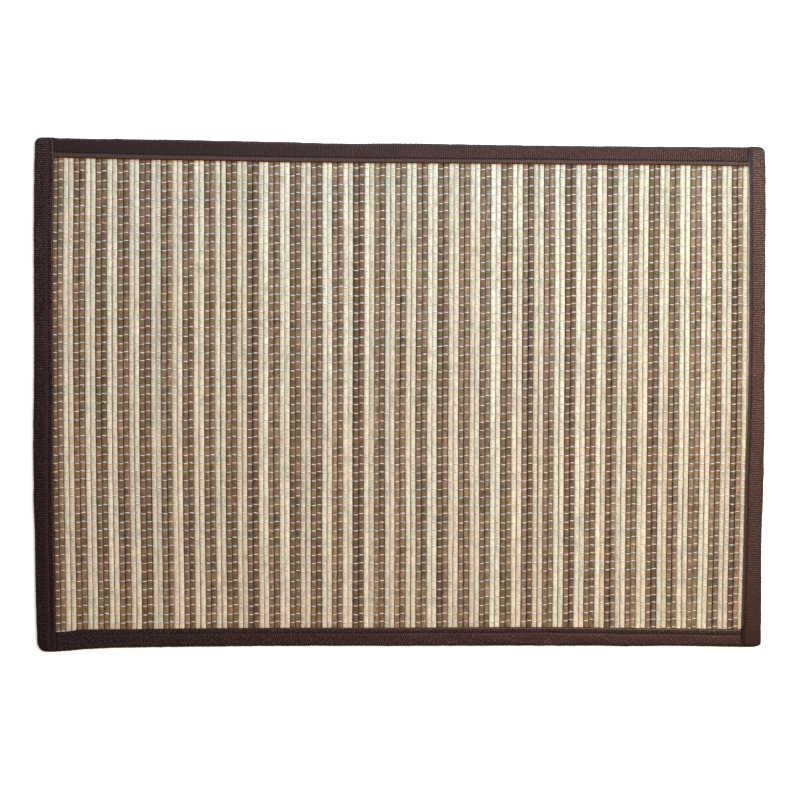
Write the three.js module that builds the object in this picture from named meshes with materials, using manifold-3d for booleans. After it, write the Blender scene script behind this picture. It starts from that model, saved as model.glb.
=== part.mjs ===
// Bamboo placemat: a flat panel of slats woven together by cotton threads, with its four edges
// bound by a folded tape. Millimetres, +Z up. X runs along the long side, Y along the slats.
// The origin is at the middle of the underside, so the mat lies on z = 0.

import * as THREE from 'three';
import { mergeVertices } from 'three/addons/utils/BufferGeometryUtils.js';
import Module from 'manifold-3d';

const wasm = await Module();
wasm.setup();

// ---------------------------------------------------------------- driving dimensions

const TAPE_THICKNESS = 1.0;      // one leg of the folded tape
const GAP = 0.3;                 // clearance between a tape and the slats, and between two tapes
const SLAT_THICKNESS = 1.2;      // at the slat's crown
const SLAT_PITCH = 3.12;         // one slat and the gap beside it
const SLAT_GROOVE = 0.42;        // depth of the furrow between two slats
const SLAT_SHOULDER = 0.55;      // from the furrow to the flat of the crown
const EDGE_INSET = 1.8;          // slat ends and outer slats stop this far inside the mat's outline
const CORNER_DROP = 3.2;         // the outermost slat is this much shorter at each end
const CORNER_REACH = 5.5;        // and the slats beside it less, as far as this from the side
const FOLD_SEGMENTS = 6;         // facets round the fold
const STITCH_INSET = 2.5;        // stitch line, from the tape's inner edge
const STITCH_DIP = 0.22;         // depth of the valley that the stitches pull in
const STITCH_WIDTH = 1.1;        // half width of that valley

// The tables below are measured from the middle of the slat field; this puts the origin under
// the middle of the whole mat.
const ORIGIN_SHIFT = { x: 0, y: 0.275 };

const MAT_HEIGHT = 2 * TAPE_THICKNESS + 2 * GAP + SLAT_THICKNESS;
const PANEL_BOTTOM = TAPE_THICKNESS + GAP;
const PANEL_TOP = PANEL_BOTTOM + SLAT_THICKNESS;

// Slats: the first visible boundary at the left, then one pitch after another.
const FIRST_BOUNDARY = -210.13;  // boundary between the outer slat at the left and the next one
const LAST_BOUNDARY = 211.07;    // the same at the right
const PANEL_LEFT = -212.5;       // the two outer slats, hidden in the side tapes, are narrower
const PANEL_RIGHT = 213.1;

// The sides of the mat, a row for each section: where the section is along the side,
// the outer fold of the tape, and the tape's inner edge where the slats come out.
const LEFT_TAPE = [
  { along: -150.4, outer: -214, inner: -202.9 },
  { along: -131, outer: -214.7, inner: -203.3 },
  { along: -104, outer: -215.2, inner: -203.6 },
  { along: -84, outer: -215.4, inner: -204.1 },
  { along: -60, outer: -216, inner: -204.4 },
  { along: -35, outer: -216.1, inner: -204.4 },
  { along: 5, outer: -215.6, inner: -204.0 },
  { along: 50, outer: -215.3, inner: -204.3 },
  { along: 90, outer: -215.3, inner: -204.2 },
  { along: 125, outer: -214.9, inner: -203.4 },
  { along: 149.85, outer: -214.3, inner: -203.3 },
];
const RIGHT_TAPE = [
  { along: -150, outer: 215.3, inner: 203.1 },
  { along: -118, outer: 215.2, inner: 203.6 },
  { along: -86, outer: 215.1, inner: 204.1 },
  { along: -55, outer: 215.8, inner: 204.4 },
  { along: -20, outer: 216.1, inner: 204.8 },
  { along: 12, outer: 215.8, inner: 205.1 },
  { along: 40, outer: 215.7, inner: 205.2 },
  { along: 77, outer: 215.35, inner: 205.0 },
  { along: 115, outer: 215.2, inner: 204.7 },
  { along: 148.9, outer: 214.2, inner: 204.2 },
];
const TOP_TAPE = [
  { along: -206, outer: 149.6, inner: 138.1 },
  { along: -181, outer: 149.3, inner: 137.7 },
  { along: -145, outer: 149.25, inner: 137.3 },
  { along: -107, outer: 148.9, inner: 137.1 },
  { along: -70, outer: 148.6, inner: 136.7 },
  { along: -35, outer: 148.1, inner: 136.7 },
  { along: 7, outer: 148.55, inner: 136.9 },
  { along: 54, outer: 148.3, inner: 137.0 },
  { along: 101, outer: 148.15, inner: 137.0 },
  { along: 150, outer: 148.3, inner: 137.3 },
  { along: 206, outer: 148.55, inner: 137.1 },
];
const BOTTOM_TAPE = [
  { along: -206, outer: -150.5, inner: -138.5 },
  { along: -197, outer: -149.8, inner: -138.1 },
  { along: -187, outer: -149.0, inner: -136.9 },
  { along: -162, outer: -148.1, inner: -136.9 },
  { along: -130, outer: -147.9, inner: -136.7 },
  { along: -70, outer: -147.7, inner: -136.6 },
  { along: 0, outer: -148.1, inner: -136.9 },
  { along: 54, outer: -148.25, inner: -136.9 },
  { along: 104, outer: -148.6, inner: -137.2 },
  { along: 135, outer: -149.0, inner: -137.8 },
  { along: 165, outer: -149.1, inner: -138.2 },
  { along: 206, outer: -149.9, inner: -139.0 },
];

// The mat's rounded corners, each a quarter of an ellipse in plan: how far it reaches across the
// side tape and along it.
const CORNERS = {
  topLeft: { across: 4.0, along: 4.0 },
  topRight: { across: 4.0, along: 2.9 },
  bottomLeft: { across: 5.3, along: 6.5 },
  bottomRight: { across: 6.5, along: 2.8 },
};

// The slats bow a little in the plane of the mat: how far the outer slats at each side lie
// from a straight line, a row for each section along them. It fades out over BOW_REACH.
const SLAT_BOW = [
  { y: -149, left: 0.8, right: -0.3 },
  { y: -90, left: -0.3, right: 0.1 },
  { y: -30, left: -0.95, right: 0.75 },
  { y: 45, left: -1.2, right: 0.6 },
  { y: 149, left: -0.3, right: -0.3 },
];
const BOW_REACH = 150;

// ---------------------------------------------------------------- small helpers

const lerp = (a, b, t) => a + (b - a) * t;

// A named column of a table, read between its rows in a straight line.
function column(rows, key, name, at) {
  if (at <= rows[0][key]) return rows[0][name];
  for (let i = 1; i < rows.length; i++) {
    if (at <= rows[i][key]) {
      const t = (at - rows[i - 1][key]) / (rows[i][key] - rows[i - 1][key]);
      return lerp(rows[i - 1][name], rows[i][name], t);
    }
  }
  return rows[rows.length - 1][name];
}

function bow(x, y) {
  const left = Math.max(0, Math.min(1, (-(x) - (PANEL_RIGHT - BOW_REACH)) / BOW_REACH));
  const right = Math.max(0, Math.min(1, (x - (PANEL_RIGHT - BOW_REACH)) / BOW_REACH));
  return left * column(SLAT_BOW, 'y', 'left', y) + right * column(SLAT_BOW, 'y', 'right', y);
}

// The triangles that close a ring: each piece is a small polygon of the ring's points, and the
// triangles turn the way that the ring does, or the other way.
function cap(ring, pieces, base, turned) {
  const flat = ring.map((p) => new THREE.Vector2(p.u, p.v));
  const ringTurn = Math.sign(THREE.ShapeUtils.area(flat));
  const out = [];
  for (const piece of pieces) {
    const corners = piece.map((i) => flat[i]);
    for (const face of THREE.ShapeUtils.triangulateShape(corners, [])) {
      const same = Math.sign(THREE.ShapeUtils.area(face.map((i) => corners[i]))) === ringTurn;
      const [i, j, k] = face.map((f) => base + piece[f]);
      if (same !== turned) out.push(i, j, k);
      else out.push(i, k, j);
    }
  }
  return out;
}

// A closed solid from rings of points: each ring joins the next, and the two ends are capped,
// whole or piece by piece.
function loft(rings, pieces) {
  const n = rings[0].length;
  const caps = pieces || [rings[0].map((_, i) => i)];
  const positions = [];
  for (const ring of rings) for (const p of ring) positions.push(p.x, p.y, p.z);
  const index = [];
  for (let s = 0; s + 1 < rings.length; s++) {
    for (let i = 0; i < n; i++) {
      const j = (i + 1) % n;
      const a = s * n + i, b = s * n + j, c = (s + 1) * n + j, d = (s + 1) * n + i;
      index.push(a, b, c, a, c, d);
    }
  }
  // the end caps, triangulated in the section's own plane, the first one turned over
  index.push(...cap(rings[0], caps, 0, true));
  index.push(...cap(rings[rings.length - 1], caps, (rings.length - 1) * n, false));
  const geometry = new THREE.BufferGeometry();
  geometry.setAttribute('position', new THREE.Float32BufferAttribute(positions, 3));
  geometry.setIndex(index);
  if (volume(geometry) < 0) {
    const turned = [];
    for (let i = 0; i < index.length; i += 3) turned.push(index[i], index[i + 2], index[i + 1]);
    geometry.setIndex(turned);
  }
  return geometry;
}

function volume(geometry) {
  const p = geometry.getAttribute('position');
  const ix = geometry.getIndex().array;
  const a = new THREE.Vector3(), b = new THREE.Vector3(), c = new THREE.Vector3();
  let v = 0;
  for (let i = 0; i < ix.length; i += 3) {
    a.fromBufferAttribute(p, ix[i]);
    b.fromBufferAttribute(p, ix[i + 1]);
    c.fromBufferAttribute(p, ix[i + 2]);
    v += a.dot(b.cross(c)) / 6;
  }
  return v;
}

function toSolid(geometry) {
  const bare = new THREE.BufferGeometry();
  bare.setAttribute('position', geometry.getAttribute('position').clone());
  bare.setIndex(Array.from(geometry.getIndex().array));
  const merged = mergeVertices(bare, 1e-4);
  return new wasm.Manifold(new wasm.Mesh({
    numProp: 3,
    vertProperties: new Float32Array(merged.getAttribute('position').array),
    triVerts: new Uint32Array(merged.getIndex().array),
  }));
}

function toGeometry(solid) {
  const mesh = solid.getMesh();
  const geometry = new THREE.BufferGeometry();
  geometry.setAttribute('position', new THREE.Float32BufferAttribute(mesh.vertProperties, 3));
  geometry.setIndex(Array.from(mesh.triVerts));
  return geometry;
}

// ---------------------------------------------------------------- the slat panel

// Where a slat at x ends under the top and bottom tapes. The outermost slats are a little
// shorter, so that they stay inside the rounded corners.
function slatEnds(x) {
  const near = Math.min(x - PANEL_LEFT, PANEL_RIGHT - x);
  const drop = Math.max(0, CORNER_DROP * (1 - near / CORNER_REACH));
  return {
    top: column(TOP_TAPE, 'along', 'outer', x) - EDGE_INSET - drop,
    bottom: column(BOTTOM_TAPE, 'along', 'outer', x) + EDGE_INSET + drop,
  };
}

function slatBoundaries() {
  const list = [PANEL_LEFT];
  const count = Math.round((LAST_BOUNDARY - FIRST_BOUNDARY) / SLAT_PITCH);
  for (let i = 0; i <= count; i++) list.push(FIRST_BOUNDARY + i * SLAT_PITCH);
  list.push(PANEL_RIGHT);
  return list;
}

// The panel's section across the slats: flat underneath, a low crown and a furrow for each slat.
function panelProfile() {
  const edges = slatBoundaries();
  const points = edges.map((x) => ({ x, z: PANEL_BOTTOM }));
  const last = edges.length - 1;
  for (let i = last; i > 0; i--) {
    points.push({ x: edges[i], z: PANEL_TOP - SLAT_GROOVE });
    points.push({ x: edges[i] - SLAT_SHOULDER, z: PANEL_TOP });
    points.push({ x: edges[i - 1] + SLAT_SHOULDER, z: PANEL_TOP });
  }
  points.push({ x: edges[0], z: PANEL_TOP - SLAT_GROOVE });
  // one piece of the end cap for each slat
  const pieces = [];
  for (let i = 0; i < last; i++) {
    const furrow = last + 1 + (last - 1 - i) * 3;
    pieces.push([i, i + 1, furrow, furrow + 1, furrow + 2, furrow + 3]);
  }
  return { points, pieces };
}

function slatPanel() {
  const { points, pieces } = panelProfile();
  const rings = SLAT_BOW.map((row) => points.map((p) => {
    const ends = slatEnds(p.x);
    const y = row === SLAT_BOW[0] ? ends.bottom : row === SLAT_BOW[SLAT_BOW.length - 1] ? ends.top : row.y;
    return { x: p.x + bow(p.x, row.y), y, z: p.z, u: p.x, v: p.z };
  }));
  return loft(rings, pieces);
}

// ---------------------------------------------------------------- the folded tapes

// Section of a tape without its slot, from the outer fold (in = 0) to the inner edge (in = width).
// The upper leg has the shallow valley that the stitches pull in.
function foldProfile(width) {
  const r = MAT_HEIGHT / 2;
  const points = [{ in: width, z: 0 }];
  for (let i = 0; i <= FOLD_SEGMENTS; i++) {
    const a = -Math.PI / 2 - (Math.PI * i) / FOLD_SEGMENTS;
    points.push({ in: r + r * Math.cos(a), z: r + r * Math.sin(a) });
  }
  const stitch = width - STITCH_INSET;
  points.push({ in: stitch - STITCH_WIDTH, z: MAT_HEIGHT });
  points.push({ in: stitch, z: MAT_HEIGHT - STITCH_DIP });
  points.push({ in: stitch + STITCH_WIDTH * 0.7, z: MAT_HEIGHT - 0.04 });
  points.push({ in: width - 0.25, z: MAT_HEIGHT - 0.06 });
  points.push({ in: width, z: MAT_HEIGHT - 0.3 });
  return points;
}

// The body of a tape that runs from one end to the other of its side. place() turns a position
// along the side and a distance from the middle of the mat into x and y.
function tapeBody(rows, from, to, place, corner) {
  const stations = [from, to];
  for (const row of rows) if (row.along > from + 7 && row.along < to - 7) stations.push(row.along);
  if (corner) {
    for (const [round, end, way] of [[corner.start, from, 1], [corner.end, to, -1]]) {
      for (const share of [0.04, 0.14, 0.32, 0.6, 1]) stations.push(end + way * round.along * share);
    }
  }
  stations.sort((a, b) => a - b);
  const rings = stations.map((at) => {
    const outer = column(rows, 'along', 'outer', at);
    const inner = column(rows, 'along', 'inner', at);
    let cut = 0;
    if (corner) {
      for (const [round, distance] of [[corner.start, at - from], [corner.end, to - at]]) {
        if (distance < round.along) {
          const left = 1 - distance / round.along;
          cut = Math.max(cut, round.across * (1 - Math.sqrt(Math.max(0, 1 - left * left))));
        }
      }
    }
    const sign = Math.sign(inner);
    const width = Math.abs(outer) - cut - Math.abs(inner);
    return foldProfile(width).map((p) => {
      const distance = sign * (Math.abs(inner) + width - p.in);
      const q = place(at, distance);
      return { x: q.x, y: q.y, z: p.z, u: p.in, v: p.z };
    });
  });
  return toSolid(loft(rings));
}

// The slot that the slats lie in: the panel's outline, grown by the gap on every side.
function slotBody() {
  const xs = [PANEL_LEFT, PANEL_LEFT + CORNER_REACH, BOW_REACH - PANEL_RIGHT, PANEL_RIGHT - BOW_REACH,
    PANEL_RIGHT - CORNER_REACH, PANEL_RIGHT,
    ...TOP_TAPE.map((r) => r.along), ...BOTTOM_TAPE.map((r) => r.along)]
    .filter((x) => x >= PANEL_LEFT && x <= PANEL_RIGHT).sort((a, b) => a - b)
    .filter((x, i, all) => i === 0 || x - all[i - 1] > 0.01);
  const low = PANEL_BOTTOM - GAP, high = PANEL_TOP + GAP;
  const rings = SLAT_BOW.map((row) => {
    const under = [], over = [];
    for (const x0 of xs) {
      const x = x0 === PANEL_LEFT ? x0 - GAP : x0 === PANEL_RIGHT ? x0 + GAP : x0;
      const ends = slatEnds(x0);
      const y = row === SLAT_BOW[0] ? ends.bottom - GAP : row === SLAT_BOW[SLAT_BOW.length - 1] ? ends.top + GAP : row.y;
      under.push({ x: x + bow(x0, row.y), y, z: low, u: x, v: low });
      over.push({ x: x + bow(x0, row.y), y, z: high, u: x, v: high });
    }
    return [...under, ...over.reverse()];
  });
  const count = xs.length;
  const pieces = xs.slice(1).map((_, i) => [i, i + 1, 2 * count - 2 - i, 2 * count - 1 - i]);
  return toSolid(loft(rings, pieces));
}

const slot = slotBody();
const sideways = (at, distance) => ({ x: distance, y: at });
const lengthways = (at, distance) => ({ x: at, y: distance });

const leftFull = tapeBody(LEFT_TAPE, LEFT_TAPE[0].along, LEFT_TAPE[LEFT_TAPE.length - 1].along, sideways,
  { start: CORNERS.bottomLeft, end: CORNERS.topLeft });
const rightFull = tapeBody(RIGHT_TAPE, RIGHT_TAPE[0].along, RIGHT_TAPE[RIGHT_TAPE.length - 1].along, sideways,
  { start: CORNERS.bottomRight, end: CORNERS.topRight });

// The top and bottom tapes stop GAP short of the side tapes' inner edges.
const topFull = tapeBody(TOP_TAPE, -203.35 + GAP, 204.15 - GAP, lengthways, null);
const bottomFull = tapeBody(BOTTOM_TAPE, -202.9 + GAP, 203.1 - GAP, lengthways, null);

// ---------------------------------------------------------------- materials and the object

const bamboo = new THREE.MeshStandardMaterial({ color: 0xb9a681, roughness: 0.55, metalness: 0 });
const tape = new THREE.MeshStandardMaterial({ color: 0x4a3430, roughness: 0.9, metalness: 0 });

const placemat = new THREE.Group();
placemat.position.set(ORIGIN_SHIFT.x, ORIGIN_SHIFT.y, 0);

function add(name, geometry, material) {
  const faceted = geometry.toNonIndexed();
  faceted.computeVertexNormals();
  const mesh = new THREE.Mesh(faceted, material.clone());
  mesh.name = name;
  placemat.add(mesh);
}

add('slat_panel', slatPanel(), bamboo);
add('binding_left', toGeometry(leftFull.subtract(slot)), tape);
add('binding_right', toGeometry(rightFull.subtract(slot)), tape);
add('binding_top', toGeometry(topFull.subtract(slot)), tape);
add('binding_bottom', toGeometry(bottomFull.subtract(slot)), tape);

export default placemat;
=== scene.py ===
import math

import bpy
import numpy as np
from mathutils import Matrix, Vector


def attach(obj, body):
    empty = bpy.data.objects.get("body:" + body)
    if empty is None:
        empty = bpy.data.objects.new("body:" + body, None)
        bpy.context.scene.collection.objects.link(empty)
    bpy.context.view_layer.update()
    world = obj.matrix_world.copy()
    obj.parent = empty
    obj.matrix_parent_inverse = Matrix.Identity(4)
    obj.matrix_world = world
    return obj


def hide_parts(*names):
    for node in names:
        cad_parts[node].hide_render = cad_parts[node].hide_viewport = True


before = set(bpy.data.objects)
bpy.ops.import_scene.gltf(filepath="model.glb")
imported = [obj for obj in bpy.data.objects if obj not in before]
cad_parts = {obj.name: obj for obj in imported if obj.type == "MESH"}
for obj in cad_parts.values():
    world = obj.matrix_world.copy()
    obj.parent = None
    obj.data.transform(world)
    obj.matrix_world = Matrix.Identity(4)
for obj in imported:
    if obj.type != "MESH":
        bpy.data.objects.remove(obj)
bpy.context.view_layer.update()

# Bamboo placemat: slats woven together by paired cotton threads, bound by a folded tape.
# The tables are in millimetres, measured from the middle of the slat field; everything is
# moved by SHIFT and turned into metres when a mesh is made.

rng = np.random.default_rng(20)

MM = 0.001
SHIFT = np.array([0.0, 0.275, 0.0])

# ------------------------------------------------------------------ sizes, as in the frame

PITCH = 3.12                  # one slat and its gap
FIRST = -197.65               # a boundary between a brown and a cream slat
PANEL_LEFT, PANEL_RIGHT = -212.5, 213.1
HALF = 0.6                    # half of a slat's thickness
MID = 1.9                     # height of the slats' middle
TOTAL = 3.78                  # height of the bound edge
EDGE_INSET = 1.8
STITCH_INSET = {"tape_left": (3.55, 3.30, 3.05), "tape_right": (2.10, 1.56, 1.15),   # from the tape's inner edge,
                "tape_top": (3.10, 2.82, 2.52), "tape_bottom": (3.20, 3.30, 3.45)}   # at its start, middle and end
VALLEY = {"tape_left": 0.22, "tape_right": 0.32, "tape_top": 0.42, "tape_bottom": 0.34}
STITCH_STEP = 3.1
# Painted light along the lip (at its start, middle and end), and painted sheen along the outer fold.
LIP_PAINTED_LIGHT = {"tape_left": (0, 0, 0), "tape_right": (0, 0.07, 0.15), "tape_top": (0.85, 1.15, 1.7), "tape_bottom": (0.02, 0, 0)}
FOLD_PAINTED_SHEEN = {"tape_left": 0.22, "tape_right": 0.45, "tape_top": 0.95, "tape_bottom": 0.05}
RIM_PAINTED_LIGHT = {"tape_left": 0.0, "tape_right": 3.0, "tape_top": 0.0, "tape_bottom": 0.0}       # painted warm light at the inner edge itself, against the blue of the top lamp; above 2 redder
# Painted shade in the seam: how far it reaches outwards and inwards, how dark it is; painted shadow along the inner
# edge: how wide, how dark.
SEAM_SHADE = {"tape_left": (1.30, 0.50, 0.75, 0.50, 0.80), "tape_right": (0.55, 0.50, 0.40, 0.20, 0.0),
             "tape_top": (0.32, 0.30, 0.92, 1.00, 0.60), "tape_bottom": (0.58, 0.52, 0.80, 0.35, 0.65)}
PAINTED_LIGHT_ALONG = {"tape_left": (0.85, 1.35, 2.30), "tape_right": (0.05, 1.20, 1.45),      # painted light and shade along the tape, at its start, middle and end
         "tape_top": (0.55, 0.66, 0.95), "tape_bottom": (1.30, 1.85, 1.45)}
JOIN_SHADE = {"tape_left": (0.55, 0.25), "tape_right": (0.95, 0.45)}   # at its bottom end, at its top end
ROWS = 56                     # thread rows
THREAD_APART = 0.74           # between the two threads of a row

LEFT_TAPE = [  # along, outer fold, inner edge
    (-150.4, -214.0, -202.9), (-131, -214.7, -203.3), (-104, -215.2, -203.6), (-84, -215.4, -204.1),
    (-60, -216.0, -204.3), (-35, -216.1, -204.25), (5, -215.6, -203.85), (50, -215.3, -204.1),
    (90, -215.3, -204.0), (125, -214.9, -203.25), (149.85, -214.3, -203.3)]
RIGHT_TAPE = [
    (-150, 215.6, 203.1), (-118, 215.35, 203.7), (-86, 215.1, 204.25), (-55, 215.8, 204.65),
    (-20, 216.1, 205.45), (12, 215.8, 205.84), (40, 215.7, 205.90), (77, 215.35, 205.58),
    (115, 215.2, 205.25), (148.9, 214.2, 204.5)]
TOP_TAPE = [
    (-206, 149.6, 138.1), (-181, 149.3, 137.7), (-145, 149.25, 137.3), (-107, 148.9, 137.1),
    (-70, 148.6, 136.7), (-35, 148.1, 136.7), (7, 148.55, 136.9), (54, 148.3, 137.0),
    (101, 148.15, 137.0), (150, 148.3, 137.3), (206, 148.55, 137.1)]
BOTTOM_TAPE = [
    (-206, -150.5, -138.5), (-197, -149.8, -138.1), (-187, -149.0, -136.9), (-162, -148.1, -136.9),
    (-130, -147.9, -136.7), (-70, -147.7, -136.6), (0, -148.1, -136.9), (54, -148.25, -136.9),
    (104, -148.6, -137.2), (135, -149.0, -137.8), (165, -149.1, -138.2), (206, -149.9, -139.0)]
# Rounded corners, a quarter of an ellipse each: reach across the side tape, reach along it.
CORNERS = {"left": ((5.3, 6.5), (4.0, 4.0)), "right": ((6.5, 2.8), (4.7, 3.5))}   # bottom, top

# How far the slats lie from straight and even places, at nine of them, by their height.
LEAN_AT = (-198, -148, -98, -48, 2, 52, 102, 152, 189)
LEAN = [  # y, then one column for each place in LEAN_AT
    (-122, 0.16, 0.87, 0.76, -0.07, -0.53, -0.25, 0.04, -0.22, -0.48),
    (-87, -0.38, 0.40, 0.22, -0.13, -0.54, -0.29, 0.11, -0.34, -0.12),
    (-15, -1.08, -0.42, -0.15, -0.15, -0.95, -0.47, 0.03, -0.16, 0.37),
    (55, -1.18, -0.31, -0.20, -0.23, -0.73, -0.60, 0.11, -0.34, 0.11),
    (125, -0.52, -0.20, -0.14, -0.46, -0.84, -0.77, -0.36, -0.46, -0.57)]
# How far a thread row lies from a straight line: x, near the top edge, near the bottom edge.
ROW_BOW = [(-205, 1.1, 0.0), (-160, 0.45, 0.15), (-110, 0.35, 0.0), (-50, -0.5, -0.2),
           (0, -0.45, -0.5), (60, -0.4, -0.35), (110, -0.05, 0.25), (205, 0.4, 0.45)]
# Rows that lie further apart than the rest: row number, extra distance.
WIDE = {2: 0.5, 33: 0.95, 49: 0.85}
BROWN_WIDER = 0.085           # how far a pair of brown slats reaches over its share at each side
# Faint grey marks on the cream slats: place, reach across and along, how dark.
STAINS = [  # x, y, across, along, dark
    (-9.0, -3.6, 2.2, 2.6, 0.75), (92.3, 51.7, 1.4, 2.0, 0.40), (-105.0, 76.3, 1.3, 2.2, 0.40),
    (-142.3, -46.6, 1.4, 2.0, 0.35), (-93.3, -37.2, 1.3, 2.6, 0.35), (-30.7, 51.6, 1.2, 2.2, 0.30),
    (-134.0, 61.6, 1.3, 2.0, 0.30)]


def smooth(rows, at, col, key=0):
    """A column of a table at each value of `at`, along a monotone cubic through the rows."""
    xs = np.array([r[key] for r in rows], float)
    ys = np.array([r[col] for r in rows], float)
    d = np.diff(ys) / np.diff(xs)
    m = np.concatenate([[d[0]], np.where(d[:-1] * d[1:] > 0, 2 * d[:-1] * d[1:] / (d[:-1] + d[1:] + 1e-12), 0), [d[-1]]])
    x = np.clip(np.asarray(at, float), xs[0], xs[-1])
    i = np.clip(np.searchsorted(xs, x, side="right") - 1, 0, len(xs) - 2)
    h = xs[i + 1] - xs[i]
    t = (x - xs[i]) / h
    return ((2 * t**3 - 3 * t**2 + 1) * ys[i] + (t**3 - 2 * t**2 + t) * h * m[i]
            + (3 * t**2 - 2 * t**3) * ys[i + 1] + (t**3 - t**2) * h * m[i + 1])


def lean(x, y):
    """How far a slat at x (a column of places) lies off, at the heights y (rings for each)."""
    at = np.broadcast_to(x, y.shape)
    columns = np.stack([smooth(LEAN, y, 1 + i) for i in range(len(LEAN_AT))], -1)
    i = np.clip(np.searchsorted(LEAN_AT, at, side="right") - 1, 0, len(LEAN_AT) - 2)
    places = np.array(LEAN_AT, float)
    t = np.clip((at - places[i]) / (places[i + 1] - places[i]), 0, 1)
    t = t * t * (3 - 2 * t)
    low = np.take_along_axis(columns, i[..., None], -1)[..., 0]
    high = np.take_along_axis(columns, i[..., None] + 1, -1)[..., 0]
    return low * (1 - t) + high * t


def wander(n, points, size, knots, seed):
    """n gentle random lines, each read at `points` places."""
    r = np.random.default_rng(seed)
    k = r.normal(0, size, (n, knots))
    t = np.linspace(0, knots - 1.001, points)
    i = t.astype(int)
    f = t - i
    f = f * f * (3 - 2 * f)
    return k[:, i] * (1 - f) + k[:, i + 1] * f


# ------------------------------------------------------------------ mesh making

def strips(name, P, closed_ends=True, attributes=None, bake=None, cyclic=True):
    """One mesh of many strips. P is (strips, rings, points round, 3) in millimetres."""
    T, R, K, _ = P.shape
    co = (P.reshape(-1, 3) + SHIFT) * MM
    base = np.arange(T)[:, None, None] * R * K
    r = np.arange(R - 1)[None, :, None]
    k = np.arange(K)[None, None, :]
    k2 = (k + 1) % K
    a, b = base + r * K + k, base + r * K + k2
    c, d = base + (r + 1) * K + k2, base + (r + 1) * K + k
    quads = np.stack([a, b, c, d], -1).reshape(-1, 4)
    loops = [quads.reshape(-1)]
    starts = [np.arange(len(quads)) * 4]
    totals = [np.full(len(quads), 4)]
    n_loops = len(quads) * 4
    if closed_ends:
        first = (np.arange(T)[:, None] * R * K + np.arange(K)[None, ::-1])
        last = (np.arange(T)[:, None] * R * K + (R - 1) * K + np.arange(K)[None, :])
        ends = np.concatenate([first, last])
        loops.append(ends.reshape(-1))
        starts.append(n_loops + np.arange(len(ends)) * K)
        totals.append(np.full(len(ends), K))
        n_loops += ends.size
    loops, starts, totals = (np.concatenate(v).astype(np.int32) for v in (loops, starts, totals))
    mesh = bpy.data.meshes.new(name)
    mesh.vertices.add(len(co))
    mesh.vertices.foreach_set("co", co.astype(np.float32).reshape(-1))
    mesh.loops.add(len(loops))
    mesh.loops.foreach_set("vertex_index", loops)
    mesh.polygons.add(len(starts))
    mesh.polygons.foreach_set("loop_start", starts)
    mesh.polygons.foreach_set("loop_total", totals)
    mesh.polygons.foreach_set("use_smooth", np.ones(len(starts), bool))
    for key, values in (attributes or {}).items():
        layer = mesh.attributes.new(key, "FLOAT_VECTOR", "POINT")
        layer.data.foreach_set("vector", np.ascontiguousarray(values, np.float32).reshape(-1))
    if bake is not None:
        U, V0, V1 = bake          # (strips, rings), (strips,), (strips,)
        vs = np.arange(K + 1) / K
        low, high = V0[:, None, None], V1[:, None, None]
        va = low + (high - low) * vs[:-1][None, None, :] + 0 * r
        vb = low + (high - low) * vs[1:][None, None, :] + 0 * r
        ua = U[:, :-1, None] + 0 * va
        ub = U[:, 1:, None] + 0 * va
        uv = np.stack([np.stack([ua, va], -1), np.stack([ua, vb], -1), np.stack([ub, vb], -1), np.stack([ub, va], -1)], -2).reshape(-1, 2)
        if closed_ends:
            e0 = np.stack([np.repeat(U[:, :1], K, 1), (low[:, 0] + (high - low)[:, 0] * vs[:-1][None, ::-1])], -1)
            e1 = np.stack([np.repeat(U[:, -1:], K, 1), (low[:, 0] + (high - low)[:, 0] * vs[:-1][None, :])], -1)
            uv = np.concatenate([uv, e0.reshape(-1, 2), e1.reshape(-1, 2)])
        layer = mesh.uv_layers.new(name="OFBake")
        layer.uv.foreach_set("vector", uv.astype(np.float32).reshape(-1))
    mesh.update(calc_edges=True)
    mesh.validate()
    obj = bpy.data.objects.new(name, mesh)
    bpy.context.scene.collection.objects.link(obj)
    return obj


# ------------------------------------------------------------------ slats

low_n = math.ceil((PANEL_LEFT - FIRST) / PITCH - 0.999)
high_n = math.floor((PANEL_RIGHT - FIRST) / PITCH + 0.999)
numbers = np.arange(low_n, high_n)                      # slat n lies from FIRST + n * PITCH on


def boundary(n):
    """Where slat n begins: two brown slats are a little wider than two cream ones."""
    return FIRST + n * PITCH + np.choose(np.mod(n, 4), (BROWN_WIDER, 0.0, -BROWN_WIDER, 0.0))


edges_a = np.maximum(boundary(numbers), PANEL_LEFT)
edges_b = np.minimum(boundary(numbers + 1), PANEL_RIGHT)
N = len(numbers)
centres = (edges_a + edges_b) / 2
is_brown = np.mod(numbers, 4) >= 2
is_first = np.mod(numbers, 2) == 0                      # the first slat of its pair

shift_x = rng.normal(0, 0.07, N)
# a pair of the same colour lies a little closer, or a little wider, than the next
half_w = (edges_b - edges_a) / 2 - 0.045 - np.abs(rng.normal(0, 0.036, N))
half_w = np.minimum(half_w, 1.58)
lift = rng.normal(0, 0.035, N)
turn = rng.normal(0, 0.022, N)
thick = HALF * (1 + rng.normal(0, 0.02, N))

RINGS = 42
SECTION = np.array([(-1, -0.30), (-0.88, -0.72), (-0.42, -1.0), (0.42, -1.0), (0.88, -0.72), (1, -0.30),
                    (1, 0.30), (0.88, 0.72), (0.42, 1.0), (-0.42, 1.0), (-0.88, 0.72), (-1, 0.30)])


def slat_ends(x):
    near = np.minimum(x - PANEL_LEFT, PANEL_RIGHT - x)
    drop = np.maximum(0, 3.2 * (1 - near / 5.5))
    return smooth(BOTTOM_TAPE, x, 1) + EDGE_INSET + drop, smooth(TOP_TAPE, x, 1) - EDGE_INSET - drop


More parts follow.
